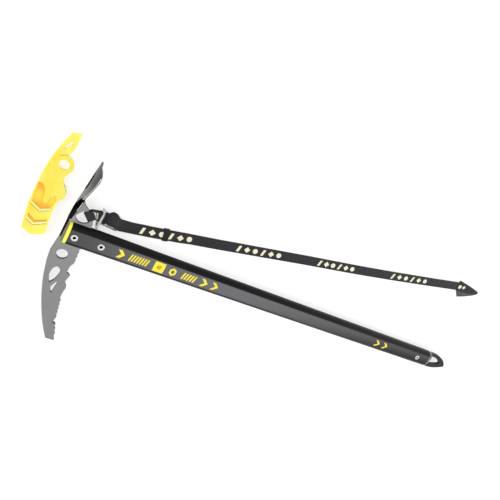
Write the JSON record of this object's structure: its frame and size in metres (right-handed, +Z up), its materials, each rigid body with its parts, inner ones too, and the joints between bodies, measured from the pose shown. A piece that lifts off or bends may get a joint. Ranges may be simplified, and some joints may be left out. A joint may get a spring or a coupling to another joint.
{
  "type": "ice axe",
  "caption": "Walking ice axe with a toothed pick, scooped adze, tubular shaft, looped spike, long wrist leash with a buckle and a clip-on moulded head cover.",
  "frame": {"origin": "on the floor, under the middle of the axe and its cover, measured without the leash", "axes": "+Z up from the floor that the axe lies on, +X along the shaft towards the spike, +Y towards the adze"},
  "size_m": [0.7807, 0.3235, 0.049],
  "materials": {
    "forged_steel": "satin forged steel",
    "shaft_grey": "dark grey anodised",
    "collar_yellow": "satin",
    "liner_plastic": "matt",
    "rivet_steel": "bright",
    "spike_black": "black satin",
    "ferrule_steel": "satin",
    "webbing": null,
    "buckle_steel": "satin",
    "keeper_rubber": "matt",
    "cover_yellow": "translucent moulded plastic"
  },
  "bodies": {
    "axe": {"axe_head": "forged_steel", "shaft_collar": "collar_yellow", "shaft_tube": "shaft_grey", "tang_liner_upper": "liner_plastic", "tang_liner_lower": "liner_plastic", "head_rivet_front": "rivet_steel", "head_rivet_rear": "rivet_steel", "spike": "spike_black", "spike_ferrule": "ferrule_steel", "spike_liner_upper": "liner_plastic", "spike_liner_lower": "liner_plastic", "spike_rivet": "rivet_steel"},
    "leash": {"leash_anchor_loop": "webbing", "buckle_frame": "buckle_steel", "leash_lower_strap": "webbing", "leash_upper_strap": "webbing", "leash_end_fold": "webbing"},
    "bail": {"buckle_bail": "buckle_steel"},
    "keeper": {"strap_keeper": "keeper_rubber"},
    "cover": {"head_cover": "cover_yellow"}
  },
  "joints": [
    {"name": "leash_swing", "type": "hinge", "parent": "axe", "child": "leash", "pos_m": [-0.32537, 0.04986, 0.01947], "axis": [0, 0, 1], "range_deg": [-3, 10]},
    {"name": "bail_hinge", "type": "hinge", "parent": "leash", "child": "bail", "pos_m": [-0.3088, 0.05152, 0.0045], "axis": [0.0767, 0.9971, 0], "range_deg": [-10, 30]},
    {"name": "keeper_slide", "type": "slide", "parent": "leash", "child": "keeper", "axis": [0.9821, 0.1883, 0], "range_m": [-0.012, 0.012]},
    {"name": "cover_slide", "type": "slide", "parent": "axe", "child": "cover", "axis": [0.626, -0.7798, 0], "range_m": [0, 0.014]}
  ]
}
